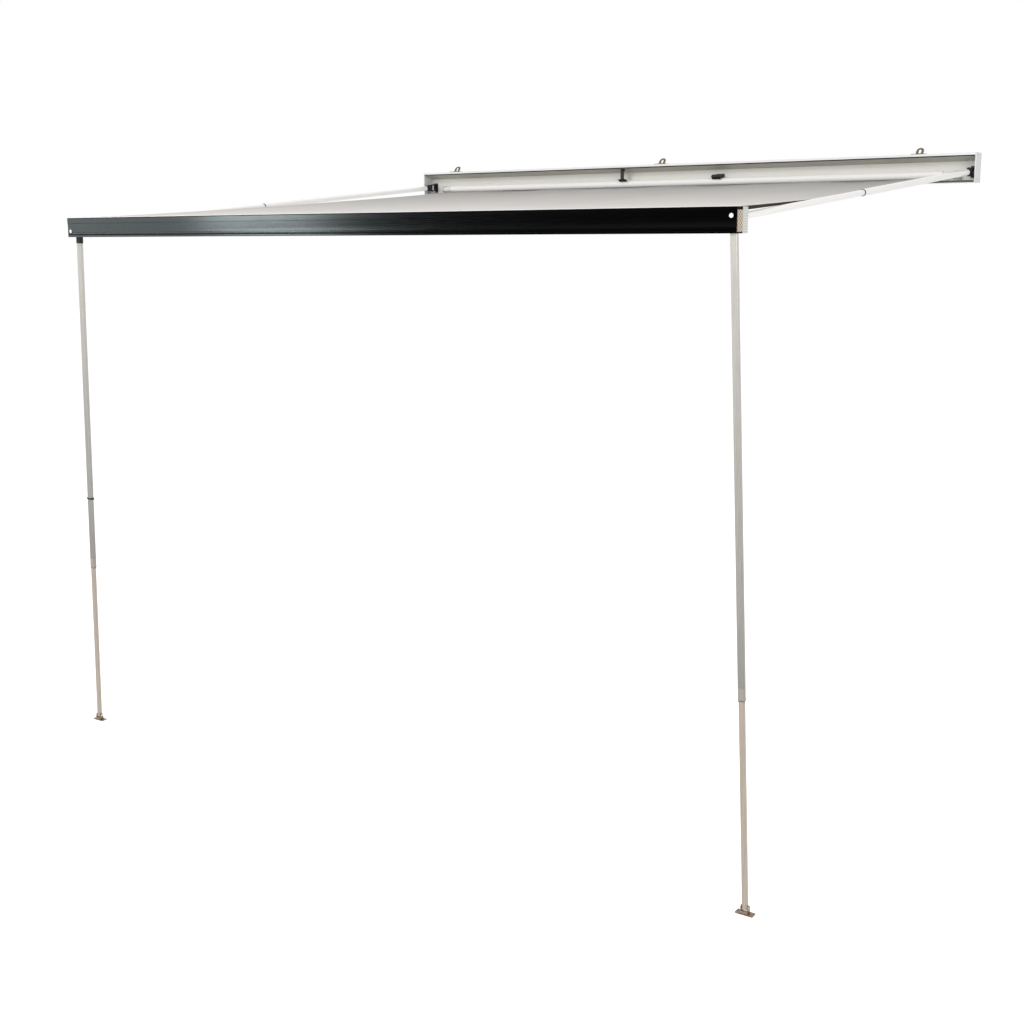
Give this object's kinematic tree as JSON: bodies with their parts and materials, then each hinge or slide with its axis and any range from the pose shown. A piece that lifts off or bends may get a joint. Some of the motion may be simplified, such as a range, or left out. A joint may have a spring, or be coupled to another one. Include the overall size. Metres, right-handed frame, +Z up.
{
  "type": "camper awning",
  "caption": "Roll-out awning for a camper: white case, tapered pale canopy, black lead bar, swinging telescopic rafters and two splayed folding legs.",
  "frame": {"origin": "on the back of the middle wall bracket, at half the height of the case", "axes": "+X along the case to the right as seen from outside, +Y into the wall, +Z up"},
  "size_m": [3.233, 2.4718, 2.49],
  "materials": {
    "white_case": "gloss paint",
    "white_cap": "moulded",
    "white_tube": "satin paint",
    "beige_tube": "satin",
    "grey_tube": "mill finish",
    "black_bar": "black satin",
    "black_plastic": "moulded",
    "grey_plastic": "moulded",
    "ribbed_plastic": "ribbed",
    "tan_plastic": "knurled",
    "white_disc": "moulded",
    "bronze_steel": "dark bronze",
    "zinc_steel": "zinc plated",
    "brown_steel": "matt",
    "canopy_cloth": "coated cloth"
  },
  "bodies": {
    "case": {"case_profile": "white_case", "roller_axle": "zinc_steel", "rafter_clip_long": "black_plastic", "rafter_clip_short": "black_plastic", "wall_bracket_left": "bronze_steel", "wall_bracket_middle": "bronze_steel", "wall_bracket_right": "bronze_steel", "wall_bolt_left": "zinc_steel", "wall_bolt_middle": "zinc_steel", "wall_bolt_right": "zinc_steel", "case_end_cap_left": "white_cap", "roller_bearing_left": "black_plastic", "closing_catch_base_left": "grey_plastic", "rafter_bracket_left": "black_plastic", "rafter_pin_left": "zinc_steel", "case_end_cap_right": "white_cap", "roller_bearing_right": "black_plastic", "closing_catch_base_right": "grey_plastic", "rafter_bracket_right": "black_plastic", "rafter_pin_right": "zinc_steel"},
    "roller": {"roller_tube": "grey_tube", "fabric_roll": "canopy_cloth", "roller_plug_left": "black_plastic", "roller_plug_right": "black_plastic"},
    "lead_bar": {"lead_bar_profile": "black_bar", "canopy_bead": "canopy_cloth", "canopy": "canopy_cloth", "bar_front_cap_left": "tan_plastic", "bar_rear_cap_left": "ribbed_plastic", "leg_pivot_pin_left": "white_disc", "rafter_catch_left": "black_plastic", "bar_front_cap_right": "tan_plastic", "bar_rear_cap_right": "ribbed_plastic", "leg_pivot_pin_right": "white_disc", "rafter_catch_right": "black_plastic"},
    "rafter_left": {"rafter_knuckle_left": "black_plastic", "rafter_outer_left": "white_tube", "rafter_bush_left": "black_plastic"},
    "rafter_extension_left": {"rafter_inner_left": "white_tube", "rafter_tip_left": "black_plastic"},
    "leg_left": {"leg_knuckle_left": "black_plastic", "leg_outer_left": "beige_tube", "leg_collar_left": "grey_plastic", "leg_ring_left": "black_plastic"},
    "leg_extension_left": {"leg_inner_left": "beige_tube"},
    "foot_left": {"foot_plate_left": "brown_steel", "foot_pin_left": "zinc_steel"},
    "catch_left": {"closing_catch_lever_left": "grey_plastic"},
    "rafter_right": {"rafter_knuckle_right": "black_plastic", "rafter_outer_right": "white_tube", "rafter_bush_right": "black_plastic"},
    "rafter_extension_right": {"rafter_inner_right": "white_tube", "rafter_tip_right": "black_plastic"},
    "leg_right": {"leg_knuckle_right": "black_plastic", "leg_outer_right": "beige_tube", "leg_collar_right": "grey_plastic"},
    "leg_extension_right": {"leg_inner_right": "beige_tube"},
    "foot_right": {"foot_plate_right": "brown_steel", "foot_pin_right": "zinc_steel"},
    "catch_right": {"closing_catch_lever_right": "grey_plastic"}
  },
  "joints": [
    {"name": "bar_slide", "type": "slide", "parent": "case", "child": "lead_bar", "axis": [0, 0.9964, 0.0844], "range_m": [0, 0.93], "deforming": ["canopy"]},
    {"name": "roller_spin", "type": "hinge", "parent": "case", "child": "roller", "pos_m": [0.053, -0.0273, -0.026], "axis": [1, 0, 0], "range_deg": [0, 3140]},
    {"name": "rafter_swing_left", "type": "hinge", "parent": "case", "child": "rafter_left", "pos_m": [-1.417, -0.0623, -0.018], "axis": [0, -0.0844, 0.9964], "range_deg": [0, 90]},
    {"name": "rafter_slide_left", "type": "slide", "parent": "rafter_left", "child": "rafter_extension_left", "axis": [0, 0.9964, 0.0844], "range_m": [0, 0.93]},
    {"name": "leg_fold_left", "type": "hinge", "parent": "lead_bar", "child": "leg_left", "pos_m": [-1.4325, -2.4273, -0.2395], "axis": [0, -1, 0], "range_deg": [0, 93.08]},
    {"name": "leg_slide_left", "type": "slide", "parent": "leg_left", "child": "leg_extension_left", "axis": [0.0468, 0, 0.9989], "range_m": [0, 0.6]},
    {"name": "foot_swivel_left", "type": "hinge", "parent": "leg_extension_left", "child": "foot_left", "pos_m": [-1.5325, -2.4273, -2.374], "axis": [1, 0, 0], "range_deg": [-30, 0]},
    {"name": "catch_turn_left", "type": "hinge", "parent": "case", "child": "catch_left", "pos_m": [-1.38, -0.0703, -0.0515], "axis": [-1, 0, 0], "range_deg": [0, 35]},
    {"name": "rafter_swing_right", "type": "hinge", "parent": "case", "child": "rafter_right", "pos_m": [1.523, -0.0623, -0.018], "axis": [0, 0.0844, -0.9964], "range_deg": [0, 90]},
    {"name": "rafter_slide_right", "type": "slide", "parent": "rafter_right", "child": "rafter_extension_right", "axis": [0, 0.9964, 0.0844], "range_m": [0, 0.93]},
    {"name": "leg_fold_right", "type": "hinge", "parent": "lead_bar", "child": "leg_right", "pos_m": [1.5385, -2.4523, -0.2116], "axis": [0, 1, 0], "range_deg": [0, 92.2]},
    {"name": "leg_slide_right", "type": "slide", "parent": "leg_right", "child": "leg_extension_right", "axis": [-0.0462, 0, 0.9989], "range_m": [0, 0.6]},
    {"name": "foot_swivel_right", "type": "hinge", "parent": "leg_extension_right", "child": "foot_right", "pos_m": [1.6385, -2.4523, -2.374], "axis": [1, 0, 0], "range_deg": [-30, 0]},
    {"name": "catch_turn_right", "type": "hinge", "parent": "case", "child": "catch_right", "pos_m": [1.486, -0.0703, -0.0515], "axis": [-1, 0, 0], "range_deg": [0, 35]}
  ],
  "couplings": [
    {"joint": "roller_spin", "follows": "bar_slide", "rad_per_m": 58.824},
    {"joint": "rafter_slide_left", "follows": "bar_slide", "ratio": 1},
    {"joint": "rafter_slide_right", "follows": "bar_slide", "ratio": 1}
  ]
}
